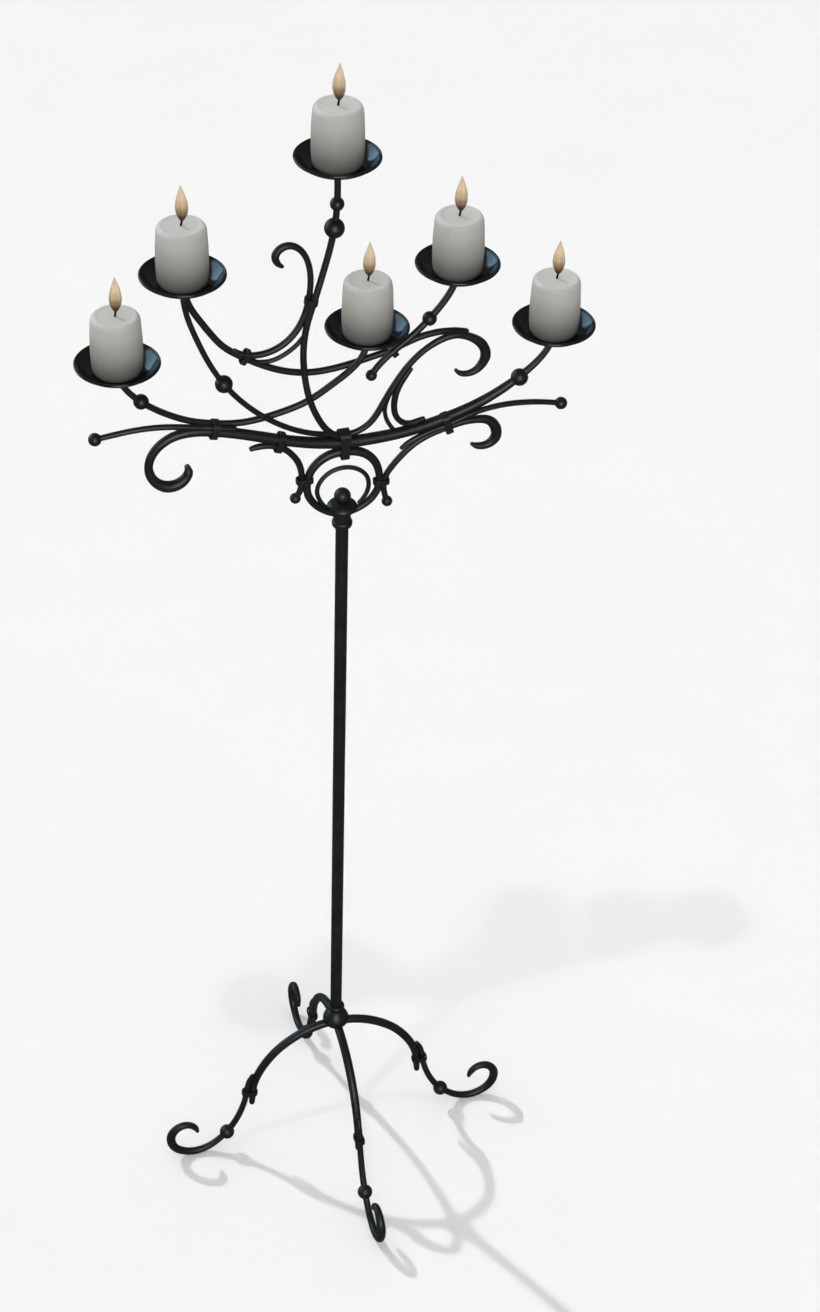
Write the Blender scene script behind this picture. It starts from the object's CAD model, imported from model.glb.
"""Looks of a floor-standing wrought-iron candelabra with six lit pillar candles.

The stand, pans, bands and balls keep their solids and get painted, forged iron.
Candles, wicks and flames are new surfaces, worked out below as whole arrays on grids.
All sizes are metres.
"""

import math

import bpy
import numpy as np
from mathutils import Matrix, Vector


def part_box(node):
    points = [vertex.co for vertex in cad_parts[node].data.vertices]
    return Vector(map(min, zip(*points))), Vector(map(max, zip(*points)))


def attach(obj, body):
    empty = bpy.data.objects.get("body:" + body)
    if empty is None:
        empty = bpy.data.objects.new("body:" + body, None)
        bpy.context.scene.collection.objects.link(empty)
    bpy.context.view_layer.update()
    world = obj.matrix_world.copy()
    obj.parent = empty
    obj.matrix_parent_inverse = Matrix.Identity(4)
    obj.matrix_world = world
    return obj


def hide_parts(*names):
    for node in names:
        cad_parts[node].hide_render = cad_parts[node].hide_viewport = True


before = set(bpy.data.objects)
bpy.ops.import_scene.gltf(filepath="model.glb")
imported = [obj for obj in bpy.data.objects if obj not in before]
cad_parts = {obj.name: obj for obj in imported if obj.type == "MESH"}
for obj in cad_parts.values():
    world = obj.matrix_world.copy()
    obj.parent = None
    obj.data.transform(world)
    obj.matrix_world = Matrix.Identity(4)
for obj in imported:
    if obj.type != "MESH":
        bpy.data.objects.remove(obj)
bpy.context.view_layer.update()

PLACES = "abcdef"

# candle: its height, the depth of the melted dish, and its radii at shoulder and belly
CANDLE_H = 0.0782
DISH_DROP = 0.0011
SHOULDER_R = 0.0302
WIDEST_R = 0.0317
WAVE = 0.00014
# hole under the candle for its spike
SOCKET_R = 0.0032
SOCKET_H = 0.034
SOCKET_MOUTH_R = 0.0072
# wick: radius, height above the dish, how far its tip leans, and how deep it goes (share of height)
WICK_R = 0.0014
WICK_UP = 0.0122
WICK_LEAN = 0.0024
WICK_DEPTH = 0.55
# flame: height, widest radius, and where on the wick it starts (share of height)
FLAME_H = 0.0477
FLAME_R = 0.0080
FLAME_FOOT = 0.5
# nested flame shells: name, share of the full size
FLAME_SHELLS = (("flame_core", 0.82), ("flame_skin", 0.92), ("flame_veil", 1.0))

# points round and along the turned pieces
CANDLE_GRID = (150, 120)
WICK_GRID = (60, 24)
FLAME_GRID = (90, 64)

# lamps: where they stand, which way their light goes, and how strong they are
KEY_TRAVEL = (0.346, -0.672, -0.655)
KEY_STRENGTH = 1.38
FILL_TRAVEL = (0.35, 0.6, -0.72)
FILL_STRENGTH = 0.92
OVERHEAD_PLACE = (-0.875, -0.69, 4.9)
OVERHEAD_POWER = 97
OVERHEAD_DROP = 5.05
WINDOW_PLACE = (-3.3, 3.45, 2.72)
FRONT_PLACE = (-0.6, -3.4, 2.2)
ROOM_LIGHT = 0.452
ROOM_IN_GLOSS = 0.11
BACKDROP = 0.92

# camera: place, right and up directions, lens for a 36 mm sensor
CAMERA_PLACE = (-0.7943, -2.7734, 3.2042)
CAMERA_RIGHT = (0.95769, -0.28665, 0.02561)
CAMERA_UP = (0.15875, 0.60040, 0.78378)
CAMERA_LENS = 75.73

# wax colour against height, from foot to top
WAX_TINTS = [
    (0.0, (0.36, 0.335, 0.30)),
    (0.08, (0.27, 0.255, 0.232)),
    (0.3, (0.285, 0.275, 0.256)),
    (0.55, (0.385, 0.372, 0.346)),
    (0.8, (0.52, 0.51, 0.478)),
    (0.93, (0.53, 0.53, 0.503)),
    (1.0, (0.565, 0.585, 0.565)),
]
# flame colours against height: the bright inside and the smoky edge
FLAME_CORE = [
    (0.0, (0.035, 0.022, 0.013)),
    (0.14, (0.12, 0.075, 0.042)),
    (0.3, (0.50, 0.345, 0.205)),
    (0.5, (1.06, 0.82, 0.53)),
    (0.7, (1.38, 1.08, 0.75)),
    (1.0, (1.14, 0.90, 0.64)),
]
FLAME_EDGE = [
    (0.0, (0.012, 0.008, 0.006)),
    (0.25, (0.05, 0.031, 0.018)),
    (0.5, (0.15, 0.10, 0.058)),
    (0.75, (0.26, 0.185, 0.112)),
    (1.0, (0.30, 0.22, 0.14)),
]


# ------------------------------------------------------------------ mesh helpers
def grid_mesh(name, points, closed_u=True, attributes=None, flip=False):
    """A mesh from points[row, column]: quads join neighbours, and columns wrap round.

    attributes is {name: array[row, column]} and is stored on the points.
    """
    rows, cols = points.shape[:2]
    index = np.arange(rows * cols).reshape(rows, cols)
    right = np.roll(index, -1, axis=1) if closed_u else index[:, 1:]
    left = index if closed_u else index[:, :-1]
    quads = np.stack([left[:-1], right[:-1], right[1:], left[1:]], axis=-1).reshape(-1, 4)
    if flip:
        quads = quads[:, ::-1]
    mesh = bpy.data.meshes.new(name)
    mesh.from_pydata(points.reshape(-1, 3).tolist(), [], quads.tolist())
    for key, values in (attributes or {}).items():
        layer = mesh.attributes.new(key, "FLOAT", "POINT")
        layer.data.foreach_set("value", np.ascontiguousarray(values, np.float32).ravel())
    mesh.shade_smooth()
    piece = bpy.data.objects.new(name, mesh)
    bpy.context.scene.collection.objects.link(piece)
    return piece


def smooth_profile(knots, count):
    """Points spread evenly along a Catmull-Rom curve through the knots."""
    knots = np.array(knots, float)
    padded = np.vstack([2 * knots[0] - knots[1], knots, 2 * knots[-1] - knots[-2]])
    span = np.linspace(0, len(knots) - 1, count)
    at = np.minimum(span.astype(int), len(knots) - 2)
    t = (span - at)[:, None]
    a, b, c, d = (padded[at + k] for k in range(4))
    square = (2 * a - 5 * b + 4 * c - d) * t**2
    cube = (3 * b - a - 3 * c + d) * t**3
    return 0.5 * (2 * b + (c - a) * t + square + cube)


def soft_waves(angle, height, seed, terms=7):
    """Sum of a few seeded sine waves round the angle and along the height, about -1 to 1."""
    dice = np.random.default_rng(seed)
    total = np.zeros(np.broadcast(angle, height).shape)
    for k in range(terms):
        around = dice.integers(1, 6)
        along = dice.uniform(0.5, 4.0)
        start = dice.uniform(0, math.tau)
        total = total + np.sin(around * angle + along * height * math.tau + start) / (1 + k)
    return total / 2.2


# ------------------------------------------------------------------ node helpers
def new_material(name):
    """An empty node material, its tree and its output node."""
    material = bpy.data.materials.new(name)
    material.use_nodes = True
    tree = material.node_tree
    tree.nodes.clear()
    out = tree.nodes.new("ShaderNodeOutputMaterial")
    return material, tree, out


def add(tree, kind, **settings):
    """A node with sockets or settings filled in by name."""
    node = tree.nodes.new(kind)
    for key, value in settings.items():
        if key in node.inputs:
            node.inputs[key].default_value = value
        else:
            setattr(node, key, value)
    return node


def noise(tree, coords, scale, detail=4.0, roughness=0.55):
    """A noise value at the given coordinates; scale is in patches per metre."""
    node = add(tree, "ShaderNodeTexNoise", Scale=scale, Detail=detail, Roughness=roughness)
    tree.links.new(coords, node.inputs["Vector"])
    return node.outputs["Fac"]


def ramp(tree, value, stops, smooth=True):
    """A colour ramp on a value; stops are (place, colour)."""
    node = add(tree, "ShaderNodeValToRGB")
    band = node.color_ramp
    band.interpolation = "EASE" if smooth else "LINEAR"
    while len(band.elements) < len(stops):
        band.elements.new(0.5)
    for element, (place, colour) in zip(band.elements, stops):
        element.position = place
        element.color = tuple(colour) + (1,) if len(colour) == 3 else colour
    tree.links.new(value, node.inputs["Fac"])
    return node.outputs["Color"]


def spread(tree, value, low, high, start=0.0, end=1.0):
    """Maps a value from low..high to start..end."""
    node = add(tree, "ShaderNodeMapRange")
    node.inputs["From Min"].default_value = low
    node.inputs["From Max"].default_value = high
    node.inputs["To Min"].default_value = start
    node.inputs["To Max"].default_value = end
    tree.links.new(value, node.inputs["Value"])
    return node.outputs["Result"]


def bumps(tree, heights):
    """Stacked bump nodes; heights is a list of (value, strength, distance)."""
    normal = None
    for value, strength, distance in heights:
        node = add(tree, "ShaderNodeBump", Strength=strength, Distance=distance)
        tree.links.new(value, node.inputs["Height"])
        if normal is not None:
            tree.links.new(normal, node.inputs["Normal"])
        normal = node.outputs["Normal"]
    return normal


# ------------------------------------------------------------------ materials
def forged_paint(name, deep, worn, gloss, dents, dent_strength):
    """Black paint over hammered bar: soft dents, fine grain, faint rubbed places."""
    material, tree, out = new_material(name)
    coords = add(tree, "ShaderNodeTexCoord").outputs["Object"]
    hammer = noise(tree, coords, 95.0, 2.0, 0.5)
    grain = noise(tree, coords, 900.0, 5.0, 0.65)
    rub = noise(tree, coords, 38.0, 5.0, 0.6)
    body = add(tree, "ShaderNodeBsdfPrincipled")
    tree.links.new(ramp(tree, rub, [(0.35, deep), (0.72, worn)]), body.inputs["Base Color"])
    tree.links.new(spread(tree, grain, 0.3, 0.7, gloss - 0.05, gloss + 0.08), body.inputs["Roughness"])
    normal = bumps(tree, [(hammer, dent_strength, dents), (grain, 0.3, 0.00012)])
    tree.links.new(normal, body.inputs["Normal"])
    tree.links.new(body.outputs["BSDF"], out.inputs["Surface"])
    return material


def turned_steel(name):
    """Plain steel with fine rings from turning, for the hidden fixings and prickets."""
    material, tree, out = new_material(name)
    coords = add(tree, "ShaderNodeTexCoord").outputs["Object"]
    rings = add(tree, "ShaderNodeTexWave", Scale=900.0, Distortion=1.5, Detail=2.0)
    rings.bands_direction = "Z"
    tree.links.new(coords, rings.inputs["Vector"])
    smear = noise(tree, coords, 140.0, 4.0)
    body = add(tree, "ShaderNodeBsdfPrincipled", Metallic=1.0)
    tint = ramp(tree, smear, [(0.3, (0.16, 0.16, 0.16)), (0.7, (0.34, 0.33, 0.32))])
    tree.links.new(tint, body.inputs["Base Color"])
    tree.links.new(spread(tree, smear, 0.3, 0.7, 0.3, 0.5), body.inputs["Roughness"])
    tree.links.new(bumps(tree, [(rings.outputs["Fac"], 0.3, 0.0001)]), body.inputs["Normal"])
    tree.links.new(body.outputs["BSDF"], out.inputs["Surface"])
    return material


def candle_wax(name):
    """Grey-white wax: pale and cool at the melted top, warm and smoky towards the foot."""
    material, tree, out = new_material(name)
    coords = add(tree, "ShaderNodeTexCoord").outputs["Object"]
    rise = add(tree, "ShaderNodeAttribute", attribute_name="rise").outputs["Fac"]
    cloud = noise(tree, coords, 42.0, 3.0)
    speck = noise(tree, coords, 620.0, 4.0, 0.6)
    shift = add(tree, "ShaderNodeMath", operation="MULTIPLY_ADD")
    shift.inputs[1].default_value = 0.10
    shift.inputs[2].default_value = -0.05
    tree.links.new(cloud, shift.inputs[0])
    place = add(tree, "ShaderNodeMath", operation="ADD")
    tree.links.new(rise, place.inputs[0])
    tree.links.new(shift.outputs[0], place.inputs[1])
    tint = ramp(tree, place.outputs[0], WAX_TINTS, smooth=False)
    flecks = add(tree, "ShaderNodeMix", data_type="RGBA", blend_type="MULTIPLY")
    flecks.inputs["Factor"].default_value = 0.5
    tree.links.new(tint, flecks.inputs["A"])
    paler = ramp(tree, speck, [(0.3, (0.86, 0.85, 0.83)), (0.65, (1, 1, 1))])
    tree.links.new(paler, flecks.inputs["B"])
    body = add(tree, "ShaderNodeBsdfPrincipled", Roughness=0.5)
    body.inputs["Subsurface Weight"].default_value = 0.12
    body.inputs["Subsurface Radius"].default_value = (1.0, 0.75, 0.5)
    body.inputs["Subsurface Scale"].default_value = 0.004
    body.inputs["Specular IOR Level"].default_value = 0.3
    tree.links.new(flecks.outputs["Result"], body.inputs["Base Color"])
    tree.links.new(bumps(tree, [(cloud, 0.15, 0.0006), (speck, 0.2, 0.00008)]), body.inputs["Normal"])
    tree.links.new(body.outputs["BSDF"], out.inputs["Surface"])
    return material


def charred_cord(name):
    """Burnt cotton: matt black with ashy grey flecks."""
    material, tree, out = new_material(name)
    coords = add(tree, "ShaderNodeTexCoord").outputs["Object"]
    ash = noise(tree, coords, 1900.0, 3.0)
    body = add(tree, "ShaderNodeBsdfPrincipled", Roughness=0.9)
    body.inputs["Specular IOR Level"].default_value = 0.15
    tint = ramp(tree, ash, [(0.45, (0.004, 0.004, 0.004)), (0.8, (0.03, 0.028, 0.026))])
    tree.links.new(tint, body.inputs["Base Color"])
    tree.links.new(bumps(tree, [(ash, 0.6, 0.0002)]), body.inputs["Normal"])
    tree.links.new(body.outputs["BSDF"], out.inputs["Surface"])
    return material


def flame_glow(name, stops, veil, streaks):
    """A flame shell: its colour follows height, with lengthwise streaks; veil is how solid it is."""
    material, tree, out = new_material(name)
    rise = add(tree, "ShaderNodeAttribute", attribute_name="rise").outputs["Fac"]
    streak = add(tree, "ShaderNodeAttribute", attribute_name="streak").outputs["Fac"]
    colour = ramp(tree, rise, stops)
    shade = add(tree, "ShaderNodeMix", data_type="RGBA", blend_type="MULTIPLY")
    shade.inputs["Factor"].default_value = streaks
    tree.links.new(colour, shade.inputs["A"])
    fold = ramp(tree, streak, [(0.0, (0.66, 0.6, 0.52)), (1.0, (1.06, 1.04, 1.0))])
    tree.links.new(fold, shade.inputs["B"])
    light = add(tree, "ShaderNodeEmission", Strength=1.0)
    tree.links.new(shade.outputs["Result"], light.inputs["Color"])
    clear = add(tree, "ShaderNodeBsdfTransparent")
    mix = add(tree, "ShaderNodeMixShader", Fac=veil)
    tree.links.new(clear.outputs[0], mix.inputs[1])
    tree.links.new(light.outputs[0], mix.inputs[2])
    tree.links.new(mix.outputs[0], out.inputs["Surface"])
    return material


# ------------------------------------------------------------------ candles, wicks, flames
def axis_of(letter):
    """Middle of a candle in x and y, and the height of its foot."""
    low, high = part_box("candle_" + letter)
    return (low.x + high.x) / 2, (low.y + high.y) / 2, low.z


def turn_angles(count):
    """Evenly spaced angles round a full turn, as one row."""
    return np.linspace(0, math.tau, count, endpoint=False)[None, :]


def wax_pillar(letter):
    """A pillar turned about its own axis: a profile of (radius, height) from the middle of the
    melted dish, over the lip and shoulder, down the side, round the foot and up the socket.

    Outside the dish each radius is changed by slow waves round and along the side.
    """
    x, y, foot = axis_of(letter)
    dish = CANDLE_H - DISH_DROP
    top = [
        (0.0, dish + 0.0003), (0.0022, dish), (0.010, CANDLE_H - DISH_DROP * 1.05),
        (0.0185, CANDLE_H - DISH_DROP * 0.95), (0.0215, CANDLE_H - DISH_DROP * 0.6),
        (0.0233, CANDLE_H - 0.0001), (0.0252, CANDLE_H), (0.0274, CANDLE_H - 0.0011),
        (0.0292, CANDLE_H - 0.0036), (SHOULDER_R, CANDLE_H - 0.0085),
    ]
    side = [
        (0.0312, CANDLE_H * 0.68), (WIDEST_R, CANDLE_H * 0.45), (0.0315, 0.02), (0.0308, 0.0095),
        (0.0296, 0.0045), (0.0274, 0.0012), (0.0245, 0.0001),
    ]
    socket = [
        (SOCKET_MOUTH_R, 0.0), (SOCKET_MOUTH_R, 0.0022), (SOCKET_R, 0.0024),
        (SOCKET_R, SOCKET_H), (0.0, SOCKET_H),
    ]
    profile = np.vstack([smooth_profile(top + side, CANDLE_GRID[0]), np.array(socket)])
    angle = turn_angles(CANDLE_GRID[1])
    radius, height = profile[:, :1], profile[:, 1:]
    on_side = np.clip((radius - 0.018) / 0.01, 0, 1)
    waves = soft_waves(angle, height / CANDLE_H, seed=ord(letter))
    reach = radius + on_side * WAVE * waves
    lift = height + 0.0001 * waves * (radius > 0.012) * (height > CANDLE_H * 0.9)
    points = np.stack(
        [x + reach * np.cos(angle), y + reach * np.sin(angle), foot + lift + 0 * angle], axis=-1
    )
    rise = np.broadcast_to(height / CANDLE_H, points.shape[:2])
    return grid_mesh("wax_" + letter, points, attributes={"rise": rise}, flip=True)


def wick_line(letter, s):
    """Centre line of a wick at shares s of its height: straight up, then leaning to the right."""
    x, y, foot = axis_of(letter)
    dish = foot + CANDLE_H - DISH_DROP
    lean = WICK_LEAN * np.clip(s, 0, 1) ** 1.5
    return np.stack([x + lean, y - lean / 8, dish + WICK_UP * s], axis=-1)


def cotton_wick(letter):
    """A three-strand cord: a circle with three lobes that turns as it is carried up the line,
    from inside the wax to a slightly thicker end, closed round at both ends."""
    s = np.linspace(-WICK_DEPTH, 1.0, WICK_GRID[0])[:, None]
    angle = turn_angles(WICK_GRID[1])
    line = wick_line(letter, s[:, 0])[:, None, :]
    thick = WICK_R * (0.93 + 0.1 * np.clip(s, 0, 1) ** 3) * (1 + 0.1 * np.cos(3 * (angle - 5.2 * s)))
    round_top = np.sqrt(np.clip((1.0 - s) / 0.06, 0, 1))
    round_foot = np.sqrt(np.clip((s + WICK_DEPTH) / 0.03, 0, 1))
    thick = thick * round_top * round_foot
    ring = np.stack([thick * np.cos(angle), thick * np.sin(angle), 0 * thick], axis=-1)
    return grid_mesh("cord_" + letter, line + ring)


def flame_shell(letter, name, width, height, base):
    """A teardrop turned about the wick: radius = width * sin(pi * t^0.72)^0.9 * (1 - 0.16 t^2) at
    share t of its height, with shallow lengthwise folds and a slight sideways sway."""
    t = np.linspace(0, 1, FLAME_GRID[0])[:, None]
    angle = turn_angles(FLAME_GRID[1])
    foot = wick_line(letter, np.array([FLAME_FOOT]))[0]
    swell = np.sin(math.pi * t**0.72)
    swell = np.clip(swell, 0, 1) ** 0.9 * (1 - 0.16 * t**2)
    dice = np.random.default_rng(ord(letter) + len(name))
    folds = np.cos(3 * angle + dice.uniform(0, math.tau))
    folds = folds + 0.6 * np.cos(7 * angle + dice.uniform(0, math.tau))
    reach = width * swell * (1 + 0.02 * folds)
    sway = 0.0006 * np.sin(t * math.pi * 1.5 + dice.uniform(0, math.tau)) * t
    points = np.stack(
        [
            foot[0] + 0.0003 + sway + reach * np.cos(angle),
            foot[1] + reach * np.sin(angle) + 0 * t,
            foot[2] + base + height * t + 0 * angle,
        ],
        axis=-1,
    )
    rise = np.broadcast_to(t, FLAME_GRID)
    streak = 0.5 + 0.5 * np.cos(9 * angle + dice.uniform(0, math.tau)) * np.cos(4 * angle + 1.0) + 0 * t
    return grid_mesh(name + "_" + letter, points, attributes={"rise": rise, "streak": streak})


def dress_candle(letter, wax, cord, flames):
    """Candle, wick and flame of one place; all three ride the candle as it lifts off its spike."""
    body = "candle_" + letter
    pillar = wax_pillar(letter)
    pillar.data.materials.append(wax)
    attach(pillar, body)
    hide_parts("candle_" + letter)
    wick = cotton_wick(letter)
    wick.data.materials.append(cord)
    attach(wick, body)
    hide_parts("wick_" + letter)
    for (name, share), look in zip(FLAME_SHELLS, flames):
        tall = FLAME_H * (0.8 + 0.2 * share)
        shell = flame_shell(letter, name, FLAME_R * share, tall, 0.001 * (1 - share))
        shell.data.materials.append(look)
        shell.visible_shadow = False
        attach(shell, body)


# ------------------------------------------------------------------ the stand
def dress_stand():
    """Gives every iron part its metal: satin on the bars, glossier on the pans, steel inside."""
    bars = forged_paint(
        "forged_black", deep=(0.0055, 0.006, 0.0066), worn=(0.012, 0.0122, 0.0125),
        gloss=0.42, dents=0.0014, dent_strength=0.3,
    )
    sheet = forged_paint(
        "pan_black", deep=(0.007, 0.0075, 0.008), worn=(0.012, 0.0125, 0.013),
        gloss=0.13, dents=0.0006, dent_strength=0.04,
    )
    steel = turned_steel("turned_steel")
    for name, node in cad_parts.items():
        if name.startswith("candle_") or name.startswith("wick_"):
            continue
        look = bars
        if name.startswith("pan_") and name != "pan_bosses":
            look = sheet
        if name in ("prickets", "finial_stud", "hub_bolt"):
            look = steel
        for slot in node.material_slots:
            slot.material = look
        if not node.material_slots:
            node.data.materials.append(look)


# ------------------------------------------------------------------ stage, light, camera
def floor():
    """A flat pale floor just under the feet, faintly mottled."""
    side = np.linspace(-9, 12, 40)
    x, y = np.meshgrid(side, side)
    low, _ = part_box("foot_front")
    points = np.stack([x, y, np.full_like(x, low.z - 0.0002)], axis=-1)
    ground = grid_mesh("floor", points, closed_u=False)
    material, tree, out = new_material("pale_floor")
    coords = add(tree, "ShaderNodeTexCoord").outputs["Object"]
    mottle = noise(tree, coords, 3.0, 3.0)
    body = add(tree, "ShaderNodeBsdfPrincipled", Roughness=0.9)
    body.inputs["Specular IOR Level"].default_value = 0.0
    tint = ramp(tree, mottle, [(0.3, (0.895, 0.895, 0.895)), (0.7, (0.905, 0.905, 0.905))])
    tree.links.new(tint, body.inputs["Base Color"])
    tree.links.new(body.outputs["BSDF"], out.inputs["Surface"])
    ground.data.materials.append(material)
    ground.visible_glossy = False


def reflected_panel(name, place, aim, size, power, colour):
    """A bright panel that shows only as a reflection in the paint."""
    lamp = bpy.data.lights.new(name, "AREA")
    lamp.shape = "RECTANGLE"
    lamp.size, lamp.size_y = size
    lamp.energy = power
    lamp.color = colour
    lamp_object = bpy.data.objects.new(name, lamp)
    lamp_object.location = place
    lamp_object.rotation_euler = (Vector(aim) - Vector(place)).to_track_quat("-Z", "Y").to_euler()
    lamp_object.visible_diffuse = False
    lamp_object.visible_camera = False
    bpy.context.scene.collection.objects.link(lamp_object)


def sun_light(name, travel, strength, width):
    """A distant lamp: travel is the way its light goes, width its size in degrees."""
    sun = bpy.data.lights.new(name, "SUN")
    sun.energy = strength
    sun.angle = math.radians(width)
    sun.color = (1.0, 1.0, 0.996)
    lamp = bpy.data.objects.new(name, sun)
    lamp.rotation_euler = Vector(travel).to_track_quat("-Z", "Y").to_euler()
    lamp.visible_glossy = False
    bpy.context.scene.collection.objects.link(lamp)
    return lamp


def background(tree, colour, strength):
    node = tree.nodes.new("ShaderNodeBackground")
    node.inputs["Color"].default_value = (*colour, 1)
    node.inputs["Strength"].default_value = strength
    return node.outputs[0]


def choose(tree, switch, off, on):
    """A mix of two shaders, steered by a 0 or 1 value."""
    mix = tree.nodes.new("ShaderNodeMixShader")
    tree.links.new(switch, mix.inputs[0])
    tree.links.new(off, mix.inputs[1])
    tree.links.new(on, mix.inputs[2])
    return mix.outputs[0]


def room():
    """An even white room that lights everything, is dim in reflections, and looks as pale as the floor."""
    world = bpy.data.worlds.new("studio")
    bpy.context.scene.world = world
    world.use_nodes = True
    tree = world.node_tree
    tree.nodes.clear()
    out = tree.nodes.new("ShaderNodeOutputWorld")
    paths = tree.nodes.new("ShaderNodeLightPath")
    bright = background(tree, (1.0, 0.999, 0.998), ROOM_LIGHT)
    dim = background(tree, (0.9, 0.95, 1.0), ROOM_IN_GLOSS)
    seen = background(tree, (BACKDROP, BACKDROP, BACKDROP), 1.0)
    light = choose(tree, paths.outputs["Is Glossy Ray"], bright, dim)
    tree.links.new(choose(tree, paths.outputs["Is Camera Ray"], light, seen), out.inputs["Surface"])


def overhead():
    """A small lamp high up, whose light does not weaken with distance; it throws the soft shadows."""
    lamp = bpy.data.lights.new("overhead", "POINT")
    lamp.energy = OVERHEAD_POWER
    lamp.shadow_soft_size = 0.055
    lamp.use_nodes = True
    nodes, links = lamp.node_tree.nodes, lamp.node_tree.links
    even = nodes.new("ShaderNodeLightFalloff")
    even.inputs["Strength"].default_value = 1 / OVERHEAD_DROP**2
    links.new(even.outputs["Constant"], nodes["Emission"].inputs["Strength"])
    high = bpy.data.objects.new("overhead", lamp)
    high.location = OVERHEAD_PLACE
    high.visible_glossy = False
    bpy.context.scene.collection.objects.link(high)


def studio():
    room()
    sun_light("key", KEY_TRAVEL, KEY_STRENGTH, 1.6)
    fill = sun_light("fill", FILL_TRAVEL, FILL_STRENGTH, 20.0)
    fill.data.use_shadow = False
    overhead()
    reflected_panel("blue_window", WINDOW_PLACE, (0, 0, 1.5), (4.6, 3.3), 157, (0.36, 0.66, 0.88))
    reflected_panel("front_soft", FRONT_PLACE, (0, 0, 1.0), (2.0, 2.2), 84, (1.0, 0.98, 0.95))


def camera():
    lens = bpy.data.cameras.new("camera")
    lens.sensor_width = 36.0
    lens.lens = CAMERA_LENS
    lens.clip_end = 60
    eye = bpy.data.objects.new("camera", lens)
    eye.location = CAMERA_PLACE
    right, up = Vector(CAMERA_RIGHT), Vector(CAMERA_UP)
    eye.rotation_euler = Matrix((right, up, right.cross(up))).transposed().to_euler()
    bpy.context.scene.collection.objects.link(eye)
    bpy.context.scene.camera = eye


def main():
    dress_stand()
    wax = candle_wax("candle_wax")
    cord = charred_cord("charred_cord")
    flames = (
        flame_glow("flame_core", FLAME_CORE, veil=0.95, streaks=0.6),
        flame_glow("flame_skin", FLAME_EDGE, veil=0.34, streaks=0.4),
        flame_glow("flame_veil", FLAME_EDGE, veil=0.26, streaks=0.2),
    )
    for letter in PLACES:
        dress_candle(letter, wax, cord, flames)
    floor()
    studio()
    camera()
    bpy.context.scene.view_settings.view_transform = "Standard"


main()
